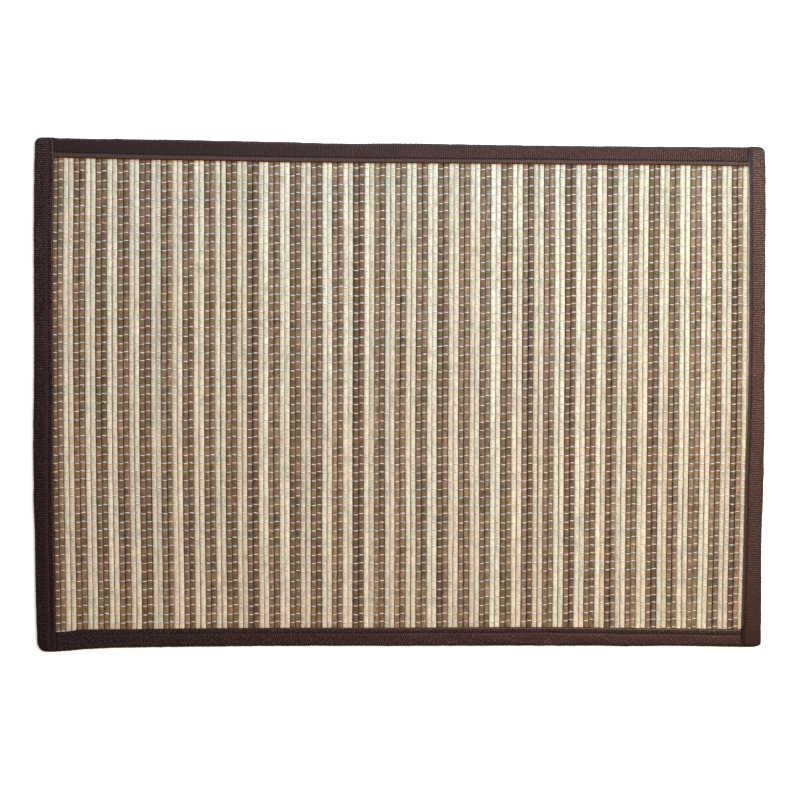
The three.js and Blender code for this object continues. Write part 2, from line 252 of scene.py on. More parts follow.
y0, y1 = slat_ends(centres)
t = np.linspace(0, 1, RINGS)
Y = y0[:, None] + (y1 - y0)[:, None] * t[None, :]
line = wander(N, RINGS, 0.055, 6, 31)
wide = 1 + wander(N, RINGS, 0.014, 14, 32) + wander(N, RINGS, 0.009, 38, 33)
high = lift[:, None] + wander(N, RINGS, 0.02, 7, 34)
roll = turn[:, None] + wander(N, RINGS, 0.02, 5, 35)
CX = centres[:, None] + shift_x[:, None] + lean(centres[:, None], Y) + line
slat_x = CX
HW = half_w[:, None] * wide
px = SECTION[None, None, :, 0] * HW[:, :, None]
pz = SECTION[None, None, :, 1] * thick[:, None, None]
X = CX[:, :, None] + px * np.cos(roll)[:, :, None] - pz * np.sin(roll)[:, :, None]
Z = MID + high[:, :, None] + px * np.sin(roll)[:, :, None] + pz * np.cos(roll)[:, :, None]
P_slats = np.stack([X, np.repeat(Y[:, :, None], 12, 2), Z], -1)
tone = rng.random((N, 3))


def slat_piece(name, chosen):
    P = P_slats[chosen]
    T = len(P)
    rnd = np.repeat(np.repeat(tone[chosen][:, None, None, :], RINGS, 1), 12, 2)
    # where the point is on its own slat: across (-1..1), along in mm, and a number of the slat
    across = np.repeat(np.repeat(SECTION[None, None, :, 0], T, 0), RINGS, 1)
    along = np.repeat(Y[chosen][:, :, None], 12, 2)
    number = np.repeat(np.repeat(chosen[:, None, None].astype(float), RINGS, 1), 12, 2)
    own = np.stack([across, along, number], -1)
    U = np.repeat(np.linspace(0.004, 0.996, RINGS)[None, :], T, 0)
    v = np.arange(T) / T
    return strips(name, P, True, {"slat": own, "tone": rnd}, (U, v + 0.06 / T, v + 0.94 / T))


index = np.arange(N)
slats = {
    "slats_brown_a": slat_piece("slats_brown_a", index[is_brown & is_first]),
    "slats_brown_b": slat_piece("slats_brown_b", index[is_brown & ~is_first]),
    "slats_cream_a": slat_piece("slats_cream_a", index[~is_brown & is_first]),
    "slats_cream_b": slat_piece("slats_cream_b", index[~is_brown & ~is_first]),
}

# ------------------------------------------------------------------ threads

steps = np.interp(np.arange(1, ROWS), [1, 30, ROWS], [4.97, 4.93, 4.86])
steps = steps + np.random.default_rng(51).normal(0, 0.11, ROWS - 1)
for row, extra in WIDE.items():
    steps[row - 1] += extra
row_y = 134.55 - np.concatenate([[0], np.cumsum(steps)])
row_y = 134.55 + (row_y - 134.55) * (267.8 / (134.55 - row_y[ROWS - 2]))   # row 55 is 267.8 mm below row 1

first_n, last_n = -3, 130                                # threads run in under the side tapes
span = np.arange(first_n, last_n + 1)
where = np.searchsorted(numbers, span)
SPAN = len(span)
PER = 4
NODES = SPAN * PER + 1


def row_line(x, y):
    share = (y + 134) / 268
    return smooth(ROW_BOW, x, 1) * share + smooth(ROW_BOW, x, 2) * (1 - share)


def thread_piece(name, rows, seed):
    r = np.random.default_rng(seed)
    T = len(rows) * 2
    P = np.zeros((T, NODES, 5, 3))
    own = np.zeros((T, NODES, 5, 3))
    top = np.zeros((T, NODES, 5, 3))                     # 1 on a slat, 0 where it dives, a mask for painted shade; a random tone
    for j, row in enumerate(rows):
        for kind in (0, 1):                              # 0 passes over the first slat of each pair
            over = np.where(np.mod(span, 2) == kind, 1.0, -1.0)
            yr = row_y[row]
            ti = np.clip((yr - y0[where]) / (y1 - y0)[where] * (RINGS - 1), 0, RINGS - 1.001)
            i = ti.astype(int)
            f = ti - i
            cx = slat_x[where, i] * (1 - f) + slat_x[where, i + 1] * f
            zc = high[where, i] * (1 - f) + high[where, i + 1] * f
            hw = HW[where, i]
            left = np.concatenate([[cx[0] - PITCH / 2], (cx[:-1] + hw[:-1] + cx[1:] - hw[1:]) / 2])
            right = np.concatenate([left[1:], [cx[-1] + PITCH / 2]])
            side = -THREAD_APART / 2 if kind == 0 else THREAD_APART / 2
            xs = np.zeros(NODES)
            zs = np.zeros(NODES)
            ys = np.zeros(NODES)
            rise = HALF + 0.155
            xs[0:-1:PER] = left
            xs[1::PER] = left + 0.76
            xs[2::PER] = (left + right) / 2 + 0.10 + r.normal(0, 0.08, SPAN)
            xs[3::PER] = right - 0.54
            xs[-1] = right[-1]
            zs[0:-1:PER] = MID
            zs[1::PER] = MID + zc + over * (rise - 0.10)
            zs[2::PER] = MID + zc + over * (rise + 0.03)
            zs[3::PER] = MID + zc + over * (rise - 0.10)
            zs[-1] = MID
            lean = r.normal(0, 0.07, SPAN)
            wob = r.normal(0, 0.07, SPAN)
            ys[0:-1:PER] = side * 0.55 + r.normal(0, 0.03, SPAN)
            ys[1::PER] = side * 0.90 + wob - lean
            ys[2::PER] = side + wob
            ys[3::PER] = side * 0.90 + wob + lean
            ys[-1] = side * 0.55
            ys = ys + yr + row_line(xs, yr) + np.interp(xs, np.linspace(-212, 212, 26), r.normal(0, 0.10, 26))
            tx, tz = np.gradient(xs), np.gradient(zs)
            n = np.hypot(tx, tz)
            tx, tz = tx / n, tz / n
            width = np.full(NODES, 0.15)
            pale = np.where(np.mod(span, 4) >= 2, 0.0, 0.06)      # pressed broader on the cream slats
            width[2::PER] = 0.365 + pale + r.normal(0, 0.03, SPAN)
            width[1::PER] = width[3::PER] = 0.31 + pale
            flat = np.full(NODES, 0.155)
            over_tone = np.repeat(r.random(SPAN) * np.where(np.mod(span, 4) >= 2, 0.74, 0.50) + np.where(np.mod(span, 4) >= 2, 0.0, 0.50), PER)
            over_tone = np.append(over_tone, over_tone[-1])
            shows = np.zeros(NODES)
            shows[2::PER] = 1.0
            shows[1::PER] = shows[3::PER] = 0.72
            a = np.arange(5) * 2 * np.pi / 5 + np.pi / 2
            s, c = np.sin(a)[None, :], np.cos(a)[None, :]
            side_y = width[:, None] * c
            out = flat[:, None] * s
            q = 2 * j + kind
            P[q, :, :, 0] = xs[:, None] - tz[:, None] * out
            P[q, :, :, 2] = zs[:, None] + tx[:, None] * out
            P[q, :, :, 1] = ys[:, None] + side_y
            own[q, :, :, 0] = np.concatenate([[0], np.cumsum(np.hypot(np.diff(xs), np.diff(zs)))])[:, None]
            own[q, :, :, 1] = (np.arange(5) / 5.0)[None, :]
            own[q, :, :, 2] = q + 100 * seed
            top[q, :, :, 0] = shows[:, None]
            top[q, :, :, 1] = over_tone[:, None]
    U = np.repeat(np.linspace(0.003, 0.997, NODES)[None, :], T, 0)
    v = np.arange(T) / T
    return strips(name, P, True, {"thread": own, "top": top}, (U, v + 0.08 / T, v + 0.92 / T))


groups = np.array_split(np.arange(ROWS), 4)
threads = [thread_piece("threads_%d" % (i + 1), g, 61 + i) for i, g in enumerate(groups)]

# ------------------------------------------------------------------ the folded tapes

H = TOTAL
FOLD_R = 1.75
FOLD_SQUARE = 2 / 3.0                                   # 1 would be a half circle


def tape_piece(name, rows, start, end, way, corner, seed):
    """A tape folded over its edge. way is 'side' (it runs along Y) or 'top' (along X)."""
    r = np.random.default_rng(seed)
    length = end - start
    n = int(length / 0.85)
    s = np.linspace(start, end, n)
    if corner:                                          # finer rings where the ends are rounded
        share = np.array([0.004, 0.02, 0.05, 0.095, 0.15, 0.22, 0.30, 0.40, 0.52, 0.66, 0.83])
        s = np.unique(np.concatenate([s[(s > start + corner[0][1]) & (s < end - corner[1][1])],
                                      start + corner[0][1] * share, end - corner[1][1] * share]))
    else:
        fine = np.array([0.0, 0.2, 0.45, 0.75, 1.1])
        s = np.unique(np.concatenate([s[(s > start + 1.3) & (s < end - 1.3)], start + fine, end - fine]))
    n = len(s)
    outer, inner = np.abs(smooth(rows, s, 1)), np.abs(smooth(rows, s, 2))
    sign = 1.0 if rows[3][1] > 0 else -1.0
    d0, d1 = s - start, end - s
    cut = np.zeros(n)
    if corner:
        for (across, reach), d in ((corner[0], d0), (corner[1], d1)):
            left = np.clip(1 - d / reach, 0, 1)
            cut = np.maximum(cut, across * (1 - np.sqrt(1 - left**2)))
    near = np.minimum(d0, d1)
    # the stitches gather the cloth: a little tuck at each stitch hole
    phase = s / STITCH_STEP * 2 * np.pi
    pucker = 0.5 - 0.5 * np.cos(phase)
    edge_wave = 0.05 * np.sin(phase + 0.6) + np.interp(s, np.linspace(start, end, int(length / 4)), r.normal(0, 0.07, int(length / 4)))
    fold_wave = np.interp(s, np.linspace(start, end, int(length / 9)), r.normal(0, 0.018, int(length / 9)))
    puff = np.interp(s, np.linspace(start, end, int(length / 11)), r.normal(0, 0.035, int(length / 11)))
    W = outer - cut - inner + edge_wave
    valley = VALLEY[name] * (1 - 0.26 * pucker)
    line_at = W - np.interp(s, np.linspace(start, end, 3), STITCH_INSET[name]) + np.interp(s, np.linspace(start, end, int(length / 14)), r.normal(0, 0.10, int(length / 14)))

    def at(inwards, z):
        return np.stack([inwards * np.ones(n), z * np.ones(n)], -1)

    body = np.maximum(line_at - 1.1, FOLD_R + 0.3)
    mid_a = FOLD_R + (body - FOLD_R) * 0.33
    mid_b = FOLD_R + (body - FOLD_R) * 0.66
    pts = []
    # the underside, from the inner edge out to the fold
    pts += [at(W, 0.50), at(W - 0.14, 0.16), at(W - 0.55, 0.0), at(W - 1.3, 0.0)]
    pts += [at(line_at + 0.42, 0.04), at(line_at + 0.17, 0.5 * valley), at(line_at, 0.75 * valley), at(line_at - 0.17, 0.5 * valley), at(line_at - 0.42, 0.04)]
    pts += [at(body, 0.0), at(mid_b, 0.0), at(mid_a, 0.0)]
    for a in np.linspace(-90, -270, 9):
        ca, sa = math.cos(math.radians(a)), math.sin(math.radians(a))
        reach = abs(ca) ** FOLD_SQUARE if abs(ca) > 1e-9 else 0.0
        rise = math.copysign(abs(sa) ** FOLD_SQUARE, sa) if abs(sa) > 1e-9 else 0.0
        pts.append(at(FOLD_R * (1 - reach) - fold_wave * reach, H / 2 * (1 + rise)))
    # the face, from the fold to the inner edge
    pts += [at(FOLD_R + 0.35, H + 0.1 * puff), at(mid_a, H + puff), at(mid_b, H + puff * 0.8), at(body, H - 0.005 + puff * 0.3), at(line_at - 0.64, H - 0.015)]
    pts += [at(line_at - 0.42, H - 0.06), at(line_at - 0.17, H - 0.62 * valley), at(line_at, H - valley), at(line_at + 0.17, H - 0.60 * valley), at(line_at + 0.42, H - 0.06)]
    pts += [at(np.minimum(line_at + 0.9, W - 1.32), H - 0.02), at(W - 1.22, H - 0.0), at(W - 0.92, H - 0.0), at(W - 0.4, H - 0.05),
            at(W - 0.08, H - 0.26), at(W, H - 0.62)]
    # the slot that the slats lie in
    depth = np.clip((near - 1.2) / 1.0, 0, 1) if corner else np.ones(n)
    back = W - (W - 1.35) * depth
    k_in = np.clip(depth * 3, 0.05, 1)
    half = 0.99 * k_in
    pts += [at(W - 0.05, H / 2 + half), at((W + back) / 2, H / 2 + half), at(back + 0.35 * depth, H / 2 + half), at(back, H / 2 + 0.4 * half),
            at(back, H / 2 - 0.4 * half), at(back + 0.35 * depth, H / 2 - half), at((W + back) / 2, H / 2 - half), at(W - 0.05, H / 2 - half)]
    G = np.stack(pts, 1)                                # rings, points, (in, z)
    K = G.shape[1]
    if corner:                                          # the ends are turned in and rounded
        e = np.clip(near / 1.8, 0, 1)
        k = np.sqrt(np.clip(1 - (1 - e) ** 2, 0.0, 1))[:, None]
    else:                                               # the ends dive in under the side tapes
        e = np.clip(near / 1.1, 0, 1)
        k = (0.74 + 0.26 * np.sqrt(np.clip(1 - (1 - e) ** 2, 0, 1)))[:, None]
    z = H / 2 + (G[:, :, 1] - H / 2) * k
    distance = sign * ((inner - edge_wave * 0)[:, None] + W[:, None] - edge_wave[:, None] * 0 - G[:, :, 0])
    along = np.repeat(s[:, None], K, 1)
    P = np.stack([distance, along, z] if way == "side" else [along, distance, z], -1)
    if (way == "side") == (sign > 0):
        P = P[:, ::-1]
        G = G[:, ::-1]
    gap = np.linalg.norm(np.diff(G, axis=1), axis=2)
    developed = np.concatenate([np.zeros((n, 1)), np.cumsum(gap, 1)], 1)
    mid = developed[:, K // 2][:, None]
    # how near the point is to the inner edge: 1 on the lip, 0 on the body of the tape
    lip = np.clip((G[:, :, 0] - line_at[:, None]) / 0.8, 0, 1) * np.where(np.abs(G[:, :, 1] - H / 2) > 1.05, 1, 0)
    dark_out, dark_in, dark, rim_wide, rim_shadow = SEAM_SHADE[name]
    off = G[:, :, 0] - line_at[:, None]
    # painted shade in the stitch seam
    painted_shade = dark * np.exp(-((off / np.where(off < 0, dark_out, dark_in)) ** 2)) * np.where(np.abs(G[:, :, 1] - H / 2) > 1.05, 1, 0)
    # painted shadow along the inner edge, where the lip shades the slats
    rim_shade = rim_shadow * np.clip((G[:, :, 0] - W[:, None] + rim_wide) / min(rim_wide, 0.4), 0, 1)
    # painted shade where the end goes in under the side tape
    under = np.zeros_like(painted_shade) if corner else np.exp(-((near[:, None] / 0.75) ** 2)) + 0 * painted_shade
    painted_shade = np.maximum(np.maximum(painted_shade, rim_shade), under)
    if corner:                                          # crushed and shaded where it laps over the next tape
        for shade, d in zip(JOIN_SHADE[name], (d0, d1)):
            over = shade * np.clip((14.5 - d) / 2.5, 0, 1) * np.clip((d - 1.0) / 2.0, 0, 1)
            painted_shade = np.maximum(painted_shade, over[:, None] * np.clip((G[:, :, 0] - line_at[:, None] + 0.5) / 0.4, 0, 1))
    # painted light along the lip, at its start, middle and end
    lip = lip * np.interp(s, np.linspace(start, end, 3), LIP_PAINTED_LIGHT[name])[:, None]
    # painted sheen along the outer fold
    fold = np.clip(1.25 - G[:, :, 0] / 1.3, 0, 1) * np.where(G[:, :, 1] > 0.35 * H, 1, 0)
    lip = np.maximum(lip, FOLD_PAINTED_SHEEN[name] * fold)
    # painted warm light at the inner edge, against the top lamp's blue
    lip = np.maximum(lip, RIM_PAINTED_LIGHT[name] * np.clip((G[:, :, 0] - W[:, None] + 0.5) / 0.4, 0, 1))
    weave = np.stack([along, developed - mid, np.full_like(along, seed)], -1)
    # painted light and shade along the tape
    painted_light_along = np.interp(s, np.linspace(start, end, 3), PAINTED_LIGHT_ALONG[name])[:, None] + 0 * lip
    marks = np.stack([lip, painted_shade, painted_light_along], -1)
    return P, weave, marks, (s, line_at, W, inner, sign)


def tape_object(name, parts):
    P, weave, marks, _ = parts
    n, K = P.shape[:2]
    obj = strips(name, P[None], True, {"weave": weave[None], "marks": marks[None]})
    # for the OFBake map: the strip cut into lengths that lie side by side
    mesh = obj.data
    cuts = 5
    ring = np.arange(n - 1)
    run = np.minimum((ring * cuts) // (n - 1), cuts - 1)
    first = np.array([ring[run == c][0] for c in range(cuts)])
    count = np.array([(run == c).sum() for c in range(cuts)])
    u0 = 0.01 + 0.98 * (ring - first[run]) / count[run]
    u1 = 0.01 + 0.98 * (ring + 1 - first[run]) / count[run]
    k = np.arange(K)
    v0 = (run[:, None] + 0.03 + 0.94 * k[None, :] / K) / cuts
    v1 = (run[:, None] + 0.03 + 0.94 * (k[None, :] + 1) / K) / cuts
    ua, ub = u0[:, None] + 0 * v0, u1[:, None] + 0 * v0
    uv = np.stack([np.stack([ua, v0], -1), np.stack([ua, v1], -1), np.stack([ub, v1], -1), np.stack([ub, v0], -1)], -2).reshape(-1, 2)
    ends = np.concatenate([np.stack([np.full(K, 0.01), v0[0, ::-1]], -1), np.stack([np.full(K, 0.99), v0[-1]], -1)])
    layer = mesh.uv_layers.new(name="OFBake")
    layer.uv.foreach_set("vector", np.concatenate([uv, ends]).astype(np.float32).reshape(-1))
    return obj


tape_parts = {
    "tape_left": tape_piece("tape_left", LEFT_TAPE, -150.4, 149.85, "side", CORNERS["left"], 1),
    "tape_right": tape_piece("tape_right", RIGHT_TAPE, -150.0, 148.9, "side", CORNERS["right"], 2),
    "tape_top": tape_piece("tape_top", TOP_TAPE, -203.35 - 0.25, 204.15 + 0.25, "top", None, 3),
    "tape_bottom": tape_piece("tape_bottom", BOTTOM_TAPE, -202.9 - 0.25, 203.1 + 0.25, "top", None, 4),
}
tapes = {k: tape_object(k, v) for k, v in tape_parts.items()}

# ------------------------------------------------------------------ stitches

def stitches():
    A = []
    info = []
    r = np.random.default_rng(77)
    for name, (_, _, _, (s, line_at, W, inner, sign)) in tape_parts.items():
        way = "side" if name in ("tape_left", "tape_right") else "top"
        start, end = s[0] + 2.0, s[-1] - 2.0
        first = math.ceil(start / STITCH_STEP)
        last = math.floor(end / STITCH_STEP)
        for face in (1, -1):
            for i in range(first, last):
                a, b = i * STITCH_STEP + 0.30, (i + 1) * STITCH_STEP - 0.30
                tt = np.linspace(0, 1, 6)
                along = a + (b - a) * tt
                centre = np.interp(along, s, line_at) + (tt - 0.5) * 0.16 * r.normal(1, 0.5)
                w = np.interp(along, s, W)
                inn = np.interp(along, s, inner)
                arch = np.sin(np.pi * tt) ** 0.6
                sunk = VALLEY[name] + 0.12
                up = (H - sunk + 0.30 * arch) if face > 0 else (0.55 - 0.28 * arch)
                d = sign * (inn + w - centre)
                ang = np.arange(6) * np.pi / 3
                rad = 0.165
                off_z = rad * np.sin(ang)
                off_d = rad * np.cos(ang)
                ring = np.zeros((6, 6, 3))
                if way == "side":
                    ring[:, :, 0] = d[:, None] + off_d[None, :]
                    ring[:, :, 1] = along[:, None]
                else:
                    ring[:, :, 0] = along[:, None]
                    ring[:, :, 1] = d[:, None] + off_d[None, :]
                ring[:, :, 2] = up[:, None] + off_z[None, :]
                if way == "side":
                    ring = ring[:, ::-1]
                A.append(ring)
                info.append(np.stack([np.repeat((tt * (b - a))[:, None], 6, 1), np.repeat(np.arange(6)[None, :] / 6.0, 6, 0),
                                      np.full((6, 6), float(len(A)))], -1))
    P = np.array(A)
    T = len(P)
    cols = 32
    rows_n = math.ceil(T / cols)
    q = np.arange(T)
    U = ((q % cols)[:, None] + 0.08 + 0.84 * np.linspace(0, 1, 6)[None, :]) / cols
    v = q // cols
    return strips("stitches", P, True, {"thread": np.array(info)}, (U, (v + 0.08) / rows_n, (v + 0.92) / rows_n))


stitching = stitches()

# ------------------------------------------------------------------ materials

class Tree:
    def __init__(self, name):
        self.mat = bpy.data.materials.new(name)
        self.mat.use_nodes = True
        self.nodes = self.mat.node_tree.nodes
        self.links = self.mat.node_tree.links
        self.shader = self.nodes["Principled BSDF"]

    def new(self, kind, **values):
        node = self.nodes.new(kind)
        for key, value in values.items():
            setattr(node, key, value)
        return node

    def put(self, source, target):
        self.links.new(source, target)

    def math(self, op, a, b=None, c=None, clamp=False):
        node = self.new("ShaderNodeMath", operation=op, use_clamp=clamp)
        for socket, value in zip(node.inputs, (a, b, c)):
            if value is None:
                continue
            if hasattr(value, "is_linked"):
                self.put(value, socket)
            else:
                socket.default_value = value
        return node.outputs[0]

    def vec(self, op, a, b):
        node = self.new("ShaderNodeVectorMath", operation=op)
        for socket, value in zip(node.inputs, (a, b)):
            if hasattr(value, "is_linked"):
                self.put(value, socket)
            else:
                socket.default_value = value
        return node.outputs[0]

    def attribute(self, name):
        return self.new("ShaderNodeAttribute", attribute_name=name).outputs["Vector"]

    def split(self, vector):
        node = self.new("ShaderNodeSeparateXYZ")
        self.put(vector, node.inputs[0])
        return node.outputs

    def join(self, x, y, z):
        node = self.new("ShaderNodeCombineXYZ")
        for socket, value in zip(node.inputs, (x, y, z)):
            if hasattr(value, "is_linked"):
                self.put(value, socket)
            else:
                socket.default_value = value
        return node.outputs[0]

    def noise(self, vector, scale, detail=2.0, rough=0.5, distortion=0.0):
        node = self.new("ShaderNodeTexNoise")
        node.inputs["Scale"].default_value = scale
        node.inputs["Detail"].default_value = detail
        node.inputs["Roughness"].default_value = rough
        node.inputs["Distortion"].default_value = distortion
        self.put(vector, node.inputs["Vector"])
        return node.outputs["Fac"]

    def ramp(self, fac, stops, interpolation="LINEAR"):
        node = self.new("ShaderNodeValToRGB")
        node.color_ramp.interpolation = interpolation
        els = node.color_ramp.elements
        while len(els) > 1:
            els.remove(els[-1])
        els[0].position, els[0].color = stops[0][0], (*stops[0][1], 1) if len(stops[0][1]) == 3 else stops[0][1]
        for pos, col in stops[1:]:
            e = els.new(pos)
            e.color = (*col, 1)
        self.put(fac, node.inputs[0])
        return node.outputs[0]

    def mix(self, fac, a, b, blend="MIX"):
        node = self.new("ShaderNodeMix", data_type="RGBA", blend_type=blend)
        node.inputs["Factor"].default_value = 1.0
        for socket, value in ((node.inputs["Factor"], fac), (node.inputs["A"], a), (node.inputs["B"], b)):
            pass
        targets = [s for s in node.inputs if s.name in ("Factor", "A", "B") and s.enabled]
        for socket, value in zip(targets, (fac, a, b)):
            if hasattr(value, "is_linked"):
                self.put(value, socket)
            elif isinstance(value, (int, float)):
                socket.default_value = value
            else:
                socket.default_value = (*value, 1)
        return [o for o in node.outputs if o.enabled][0]

    def bump(self, height, distance, strength=1.0, normal=None):
        node = self.new("ShaderNodeBump")
        node.inputs["Strength"].default_value = strength
        node.inputs["Distance"].default_value = distance
        self.put(height, node.inputs["Height"])
        if normal is not None:
            self.put(normal, node.inputs["Normal"])
        return node.outputs[0]


def bamboo(name, stops, warm, cool, edge_and_gap_shade, rough, blotches, grains, drift, stains=()):
    m = Tree(name)
    slat = m.split(m.attribute("slat"))
    tone = m.split(m.attribute("tone"))
    across, along, number = slat[0], slat[1], slat[2]
    offset = m.math("MULTIPLY", number, 7.31)
    # fine fibres along the slat, each slat its own
    fibre_co = m.join(m.math("ADD", m.math("MULTIPLY", across, 4.4), offset), m.math("MULTIPLY", along, 0.06), number)
    fibre = m.noise(fibre_co, 1.6, 4.0, 0.6)
    broad_co = m.join(m.math("MULTIPLY", across, 0.45), m.math("MULTIPLY", along, 0.055), offset)
    broad = m.noise(broad_co, 1.0, 2.0, 0.55)
    patch_co = m.join(m.math("MULTIPLY", across, 0.8), m.math("MULTIPLY", along, 0.13), m.math("ADD", offset, 40.0))
    patch = m.noise(patch_co, 1.0, 3.0, 0.6)
    value = m.math("ADD", m.math("MULTIPLY", fibre, 0.42), m.math("MULTIPLY", patch, 0.32))
    value = m.math("ADD", value, m.math("MULTIPLY_ADD", tone[0], 0.36, -0.05))
    colour = m.ramp(value, stops)
    # warmer and cooler slats, and stretches of one slat
    hue = m.math("ADD", m.math("MULTIPLY", tone[1], 0.36), m.math("MULTIPLY", broad, 1.0))
    hue = m.math("SUBTRACT", hue, 0.18, clamp=True)
    tint = m.mix(hue, warm, cool)
    colour = m.mix(1.0, colour, tint, "MULTIPLY")
    # mottling: blotches a few millimetres long, and a finer grain in them
    blotch_co = m.join(m.math("ADD", m.math("MULTIPLY", across, 0.50), offset), m.math("MULTIPLY", along, 0.17), m.math("MULTIPLY", number, 3.3))
    blotch = m.noise(blotch_co, 1.0, 3.0, 0.62)
    colour = m.mix(1.0, colour, m.ramp(blotch, [(at, (f, f, f)) for at, f in blotches]), "MULTIPLY")
    grain_co = m.join(m.math("ADD", m.math("MULTIPLY", across, 1.7), offset), m.math("MULTIPLY", along, 0.62), m.math("MULTIPLY", number, 5.1))
    grain = m.noise(grain_co, 1.0, 2.0, 0.6)
    colour = m.mix(1.0, colour, m.ramp(grain, [(at, (f, f, f)) for at, f in grains]), "MULTIPLY")
    long_co = m.join(m.math("MULTIPLY", along, 0.022), m.math("MULTIPLY", number, 4.7), 3.0)
    long_tone = m.noise(long_co, 1.0, 1.0, 0.5)
    colour = m.mix(1.0, colour, m.ramp(long_tone, [(0.25, (1 - 2 * drift,) * 3), (0.75, (1 + 2 * drift,) * 3)]), "MULTIPLY")
    stain_co = m.join(m.math("ADD", m.math("MULTIPLY", across, 0.3), offset), m.math("MULTIPLY", along, 0.11), m.math("MULTIPLY", number, 6.7))
    stain = m.noise(stain_co, 1.0, 2.0, 0.5)
    colour = m.mix(1.0, colour, m.ramp(stain, [(0.30, (1.07, 0.97, 0.97)), (0.50, (1, 1, 1)), (0.70, (0.94, 1.03, 1.0))]), "MULTIPLY")
    # dark streaks and a few specks in the wood
    streak_co = m.join(m.math("ADD", m.math("MULTIPLY", across, 2.6), offset), m.math("MULTIPLY", along, 0.045), m.math("ADD", number, 9.0))
    streak = m.noise(streak_co, 1.5, 2.0, 0.5)
    streak = m.ramp(streak, [(0.0, (0.70, 0.66, 0.60)), (0.33, (0.86, 0.84, 0.80)), (0.44, (1, 1, 1)), (1.0, (1, 1, 1))])
    colour = m.mix(1.0, colour, streak, "MULTIPLY")
    speck_co = m.join(m.math("ADD", m.math("MULTIPLY", across, 1.4), offset), m.math("MULTIPLY", along, 0.5), number)
    speck = m.noise(speck_co, 1.6, 1.0, 0.5)
    speck = m.ramp(speck, [(0.0, (0.45, 0.36, 0.28)), (0.19, (0.62, 0.55, 0.46)), (0.24, (1, 1, 1)), (1.0, (1, 1, 1))])
    colour = m.mix(0.8, colour, speck, "MULTIPLY")
    # the sawn edges are darker than the face, and this dark also paints the shade in the gaps between the slats
    rim_shade = m.math("ABSOLUTE", across)
    rim_shade = m.ramp(rim_shade, [(0.0, (1, 1, 1)), (0.66, (1, 1, 1)), (0.95, edge_and_gap_shade), (1.0, tuple(c * 0.8 for c in edge_and_gap_shade))])
    colour = m.mix(1.0, colour, rim_shade, "MULTIPLY")
    m.put(m.ramp(fibre, [(0.3, (rough - 0.06,) * 3), (0.7, (rough + 0.08,) * 3)]), m.shader.inputs["Roughness"])
    for x, y, wide, long, dark in stains:
        dx = m.math("SUBTRACT", m.math("MULTIPLY_ADD", across, 0.5, 0.5), (x - FIRST) / PITCH)
        dx = m.math("MULTIPLY", m.math("ADD", number, dx), PITCH / wide)
        dy = m.math("MULTIPLY", m.math("SUBTRACT", along, y), 1 / long)
        far = m.math("ADD", m.math("MULTIPLY", dx, dx), m.math("MULTIPLY", dy, dy))
        spot = m.math("MULTIPLY", m.math("SUBTRACT", 1.25, m.math("ADD", far, m.math("MULTIPLY", grain, 0.5)), clamp=True), dark)
        colour = m.mix(spot, colour, (0.235, 0.228, 0.190))
    colour = m.mix(1.0, colour, m.ramp(tone[2], [(0.0, (1.009, 0.991, 0.938)), (1.0, (0.991, 1.007, 1.056))]), "MULTIPLY")
    m.put(colour, m.shader.inputs["Base Color"])
    m.shader.inputs["Specular IOR Level"].default_value = 0.22
    m.shader.inputs["Specular Tint"].default_value = (1.0, 0.90, 0.78, 1)
    m.put(m.bump(fibre, 0.00012, 0.55), m.shader.inputs["Normal"])
    return m.mat


brown = bamboo(
    "bamboo_brown",
    [(0.25, (0.105, 0.068, 0.039)), (0.45, (0.160, 0.107, 0.064)), (0.58, (0.190, 0.130, 0.080)), (0.78, (0.255, 0.183, 0.115))],
    (1.09, 0.95, 0.93), (0.94, 1.03, 0.95), (0.80, 0.72, 0.64), 0.50,
    [(0.28, 0.48), (0.42, 0.80), (0.50, 1.0), (0.58, 1.20), (0.72, 1.52)], [(0.30, 0.75), (0.50, 1.0), (0.70, 1.25)], 0.11)
cream = bamboo(
    "bamboo_cream",
    [(0.25, (0.49, 0.425, 0.303)), (0.45, (0.58, 0.518, 0.385)), (0.58, (0.62, 0.565, 0.430)), (0.78, (0.68, 0.63, 0.49))],
    (1.03, 0.965, 0.94), (0.97, 1.02, 0.97), (0.90, 0.87, 0.80), 0.46,
    [(0.28, 0.70), (0.42, 0.90), (0.50, 1.0), (0.58, 1.08), (0.72, 1.17)], [(0.30, 0.86), (0.50, 1.0), (0.70, 1.11)], 0.06, STAINS)


def cotton(name, colour, dark, rough, dives=False):
    m = Tree(name)
    part = m.split(m.attribute("thread"))
    turn = m.math("ADD", m.math("MULTIPLY", part[0], 2.2), m.math("MULTIPLY", part[1], 2.0))
    twist = m.math("SINE", m.math("MULTIPLY", turn, 2 * math.pi))
    twist = m.math("MULTIPLY_ADD", twist, 0.5, 0.5)
    co = m.join(m.math("MULTIPLY", part[0], 1.1), m.math("MULTIPLY", part[1], 3.0), m.math("MULTIPLY", part[2], 3.7))
    fluff = m.noise(co, 1.4, 3.0, 0.6)
    value = m.math("ADD", m.math("MULTIPLY", twist, 0.35), m.math("MULTIPLY", fluff, 0.65))
    base = m.ramp(value, [(0.25, dark), (0.62, colour)])
    if dives:                                           # painted shade where it goes down between two slats
        top = m.split(m.attribute("top"))
        base = m.mix(1.0, base, m.ramp(top[0], [(0.0, (0.42, 0.37, 0.32)), (0.55, (0.72, 0.69, 0.66)), (0.85, (1, 1, 1))]), "MULTIPLY")
        base = m.mix(1.0, base, m.ramp(top[1], [(0.0, (0.70, 0.68, 0.655)), (0.40, (0.88, 0.87, 0.86)), (0.80, (0.98, 0.98, 0.98)), (1.0, (1.06, 1.06, 1.08))]), "MULTIPLY")
    m.put(base, m.shader.inputs["Base Color"])
    m.shader.inputs["Roughness"].default_value = rough
    m.put(m.bump(twist, 0.00008, 0.6), m.shader.inputs["Normal"])
    return m.mat


white_thread = cotton("cotton_thread", (0.84, 0.80, 0.71), (0.68, 0.64, 0.565), 0.8, True)
dark_thread = cotton("sewing_thread", (0.030, 0.016, 0.013), (0.012, 0.007, 0.006), 0.6)


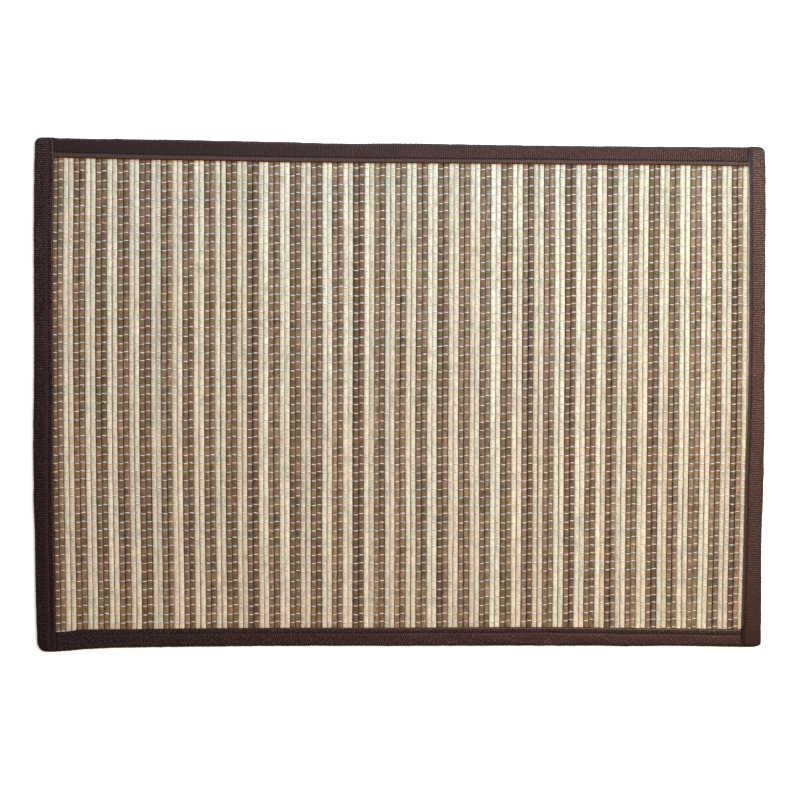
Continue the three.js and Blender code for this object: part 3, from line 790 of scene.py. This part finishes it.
def woven_tape(name, trough, crest, gloss, floats_share, slant, tint=(1.0, 0.66, 0.60)):
    """trough, crest: how rough the weave is between its ribs and on them."""
    m = Tree(name)
    weave = m.split(m.attribute("weave"))
    marks = m.split(m.attribute("marks"))
    s, w, which = weave[0], weave[1], weave[2]
    seed = m.math("MULTIPLY", which, 37.0)
    wobble_co = m.join(m.math("MULTIPLY", s, 0.11), m.math("MULTIPLY", w, 0.11), seed)
    wobble = m.noise(wobble_co, 1.0, 2.0, 0.5)
    # ribs across the tape, and the short floats that step over from rib to rib
    rib_phase = m.math("ADD", m.math("MULTIPLY", s, 1 / 1.30), m.math("MULTIPLY", wobble, 1.8))
    rib_phase = m.math("ADD", rib_phase, m.math("MULTIPLY", w, slant))
    rib = m.math("MULTIPLY_ADD", m.math("SINE", m.math("MULTIPLY", rib_phase, 2 * math.pi)), 0.5, 0.5)
    float_phase = m.math("ADD", m.math("MULTIPLY", s, 1 / 2.60), m.math("ADD", m.math("MULTIPLY", w, 1 / 1.4), m.math("MULTIPLY", wobble, 2.4)))
    floats = m.math("MULTIPLY_ADD", m.math("SINE", m.math("MULTIPLY", float_phase, 2 * math.pi)), 0.5, 0.5)
    pattern = m.math("MULTIPLY", rib, m.math("MULTIPLY_ADD", floats, floats_share, 1.0 - floats_share))
    yarn_co = m.join(m.math("MULTIPLY", s, 1.1), m.math("MULTIPLY", w, 0.55), seed)
    yarn = m.noise(yarn_co, 1.0, 3.0, 0.7)
    fleck_co = m.join(m.math("MULTIPLY", s, 1.5), m.math("MULTIPLY", w, 1.2), m.math("ADD", seed, 11.0))
    fleck = m.noise(fleck_co, 1.0, 1.0, 0.5)
    cloud_co = m.join(m.math("MULTIPLY", s, 0.05), m.math("MULTIPLY", w, 0.14), seed)
    cloud = m.noise(cloud_co, 1.0, 3.0, 0.55)
    height = m.math("ADD", m.math("MULTIPLY", pattern, 0.80), m.math("ADD", m.math("MULTIPLY", yarn, 0.50), m.math("MULTIPLY", fleck, 0.50)))
    factor = m.math("MULTIPLY_ADD", pattern, 2.75, 0.10)
    factor = m.math("MULTIPLY", factor, m.ramp(yarn, [(0.28, (0.40,) * 3), (0.50, (0.92,) * 3), (0.72, (2.1,) * 3)]))
    factor = m.math("MULTIPLY", factor, m.ramp(fleck, [(0.30, (0.35,) * 3), (0.50, (0.92,) * 3), (0.70, (2.0,) * 3)]))
    factor = m.math("MULTIPLY", factor, m.math("MULTIPLY_ADD", cloud, 0.8, 0.6))
    shine = m.math("MULTIPLY", factor, 0.40, clamp=True)            # the yarns that catch the light are greyer
    # painted light and shade along the tape
    factor = m.math("MULTIPLY", factor, marks[2])
    base = m.mix(1.0, m.mix(shine, (0.0126, 0.0058, 0.0050), (0.0136, 0.0092, 0.0093)), m.join(factor, factor, factor), "MULTIPLY")
    # painted light along the lip and the outer fold, redder at the right tape's inner edge; painted shade in the seam
    # where the stitches pull it in, along the inner edge and where it goes under
    base = m.mix(m.math("MULTIPLY", marks[0], m.math("MULTIPLY_ADD", rib, 0.75, 0.15)), base, (0.112, 0.060, 0.045))
    base = m.mix(m.math("SUBTRACT", marks[0], 2.0, clamp=True), base, (0.24, 0.085, 0.034))
    base = m.mix(m.math("MULTIPLY", marks[1], 0.90), base, (0.003, 0.0017, 0.0015))
    m.put(base, m.shader.inputs["Base Color"])
    rough = m.math("MULTIPLY_ADD", shine, crest - trough, trough)
    m.put(m.mix(m.math("MAXIMUM", marks[0], marks[1]), m.join(rough, rough, rough), (0.78,) * 3), m.shader.inputs["Roughness"])
    m.shader.inputs["Specular IOR Level"].default_value = gloss
    m.shader.inputs["Specular Tint"].default_value = (*tint, 1)
    m.put(m.bump(height, 0.00006, 1.0), m.shader.inputs["Normal"])
    return m.mat


tape_mats = {
    "tape_left": woven_tape("tape_weave_left", 0.24, 0.42, 0.32, 0.75, 0.0),
    "tape_right": woven_tape("tape_weave_right", 0.67, 0.355, 0.40, 0.35, 0.0),
    "tape_top": woven_tape("tape_weave_top", 0.74, 0.36, 0.42, 0.65, 0.0, (1.0, 0.62, 0.54)),
    "tape_bottom": woven_tape("tape_weave_bottom", 0.24, 0.43, 0.34, 0.60, 0.30),
}

for name, obj in slats.items():
    obj.data.materials.append(brown if "brown" in name else cream)
    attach(obj, "root")
for obj in threads:
    obj.data.materials.append(white_thread)
    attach(obj, "root")
for name, obj in tapes.items():
    obj.data.materials.append(tape_mats[name])
    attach(obj, "root")
stitching.data.materials.append(dark_thread)
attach(stitching, "root")

for obj in slats.values():
    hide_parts("slat_panel")
for side in ("left", "right", "top", "bottom"):
    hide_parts("binding_" + side)

slat_list = list(slats.values())
for i, (name, obj) in enumerate(slats.items()):
    count = len(index[(is_brown == ("brown" in name)) & (is_first == name.endswith("_a"))])

# ------------------------------------------------------------------ stage, light and camera

floor_mesh = bpy.data.meshes.new("floor")
floor_mesh.from_pydata([(-30, -30, -0.0001), (30, -30, -0.0001), (30, 30, -0.0001), (-30, 30, -0.0001)], [], [(0, 1, 2, 3)])
floor = bpy.data.objects.new("floor", floor_mesh)
bpy.context.scene.collection.objects.link(floor)
fm = Tree("floor_paper")
fm.shader.inputs["Roughness"].default_value = 0.9
fm.shader.inputs["Specular IOR Level"].default_value = 0.1
# painted light: the table glows softly all round the mat, so no shadow shows there; below the mat it is painted brown,
# standing in for shade
place = fm.split(fm.new("ShaderNodeNewGeometry").outputs["Position"])
out_x = fm.math("GREATER_THAN", fm.math("ABSOLUTE", place[0]), 0.211)
out_y = fm.math("GREATER_THAN", fm.math("ABSOLUTE", place[1]), 0.144)
fm.shader.inputs["Emission Color"].default_value = (1, 1, 1, 1)
outside = fm.math("MAXIMUM", out_x, out_y)
fm.put(fm.math("MULTIPLY", outside, 0.5), fm.shader.inputs["Emission Strength"])
fm.put(fm.mix(outside, (0.46, 0.34, 0.25), (0.93, 0.93, 0.93)), fm.shader.inputs["Base Color"])
floor_mesh.materials.append(fm.mat)


def area_light(name, place, aim, size, power, colour):
    data = bpy.data.lights.new(name, "AREA")
    data.shape = "RECTANGLE"
    data.size, data.size_y = size
    data.energy = power
    data.color = colour
    obj = bpy.data.objects.new(name, data)
    obj.location = place
    obj.rotation_euler = (Vector(aim) - Vector(place)).to_track_quat("-Z", "Y").to_euler()
    bpy.context.scene.collection.objects.link(obj)
    return obj


area_light("top_cool", (0.10, 0.45, 0.40), (0.0, 0.0, 0.0), (0.35, 0.35), 4.22, (0.256, 0.588, 1.0))
area_light("right_warm", (0.70, 0.20, 0.80), (0.0, 0.0, 0.0), (0.35, 0.35), 5.42, (0.991, 1.0, 0.609))
area_light("key", (0.50, 0.10, 1.60), (0.0, 0.0, 0.0), (0.5, 0.5), 18.0, (1.0, 0.617, 0.492))
world = bpy.data.worlds.new("studio")
world.use_nodes = True
world.node_tree.nodes["Background"].inputs["Color"].default_value = (1, 1, 1, 1)
world.node_tree.nodes["Background"].inputs["Strength"].default_value = 0.175
bpy.context.scene.world = world
bpy.context.scene.view_settings.view_transform = "Standard"
bpy.context.scene.view_settings.look = "None"

DISTANCE = 0.900
LEAN_X, LEAN_Y, ROLL = math.radians(-2.9176), math.radians(2.0152), math.radians(0.2362)
target = Vector((-1.973 * MM, -1.786 * MM, 2.5 * MM))
back = Vector((math.sin(LEAN_X), math.sin(LEAN_Y), 0.0))
back.z = math.sqrt(1 - back.x**2 - back.y**2)
up = Vector((-math.sin(ROLL), math.cos(ROLL), 0.0))
right = up.cross(back).normalized()
true_up = back.cross(right)
cam_data = bpy.data.cameras.new("camera")
cam_data.sensor_width = 36.0
cam_data.lens = 36.0 * 1526.70 / 800.0
cam_data.clip_start = 0.01
camera = bpy.data.objects.new("camera", cam_data)
camera.matrix_world = Matrix((
    (right.x, true_up.x, back.x, target.x + back.x * DISTANCE),
    (right.y, true_up.y, back.y, target.y + back.y * DISTANCE),
    (right.z, true_up.z, back.z, target.z + back.z * DISTANCE),
    (0, 0, 0, 1)))
bpy.context.scene.collection.objects.link(camera)
bpy.context.scene.camera = camera

total = 0
for obj in list(slats.values()) + threads + list(tapes.values()) + [stitching]:
    count = int(sum(len(p.vertices) - 2 for p in obj.data.polygons)) if len(obj.data.polygons) < 20000 else None
    if count is None:
        totals = np.zeros(len(obj.data.polygons), np.int32)
        obj.data.polygons.foreach_get("loop_total", totals)
        count = int((totals - 2).sum())
    total += count
    print("triangles", obj.name, count)
print("triangles in all", total)
